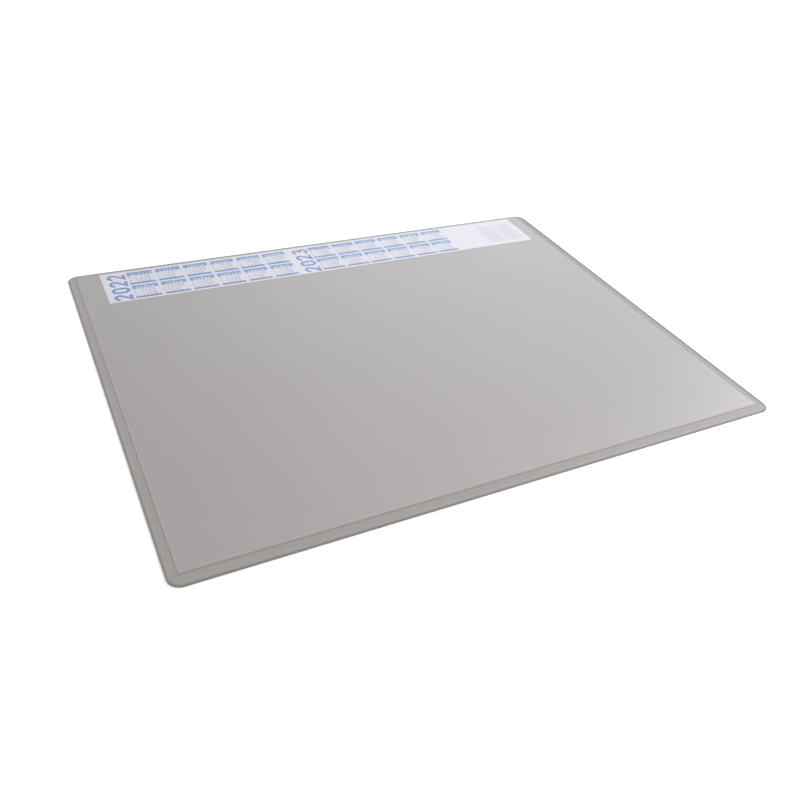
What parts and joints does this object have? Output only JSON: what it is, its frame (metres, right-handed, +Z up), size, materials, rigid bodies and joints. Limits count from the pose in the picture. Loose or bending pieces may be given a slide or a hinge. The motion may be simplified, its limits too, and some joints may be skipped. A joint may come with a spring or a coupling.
{
  "type": "desk mat with calendar strip",
  "caption": "Flat rectangular desk mat with rounded corners and a pressed seam, a clear cover film welded at the back, and a printed calendar strip lying under the film.",
  "frame": {"origin": "on the desk, under the middle of the mat", "axes": "+X along the long front edge to the right, +Y from the user towards the calendar edge, +Z up"},
  "size_m": [0.65, 0.5, 0.0026],
  "materials": {
    "soft_grey_plastic": "soft grey plastic with a fine satin grain",
    "printed_paper": "smooth white paper",
    "clear_film": "clear, soft gloss",
    "print_blue": "flat blue printing ink",
    "print_grey": "flat grey printing ink"
  },
  "bodies": {
    "root": {"base_mat": "soft_grey_plastic", "calendar_strip": "printed_paper", "clear_overlay": "clear_film"}
  },
  "joints": []
}
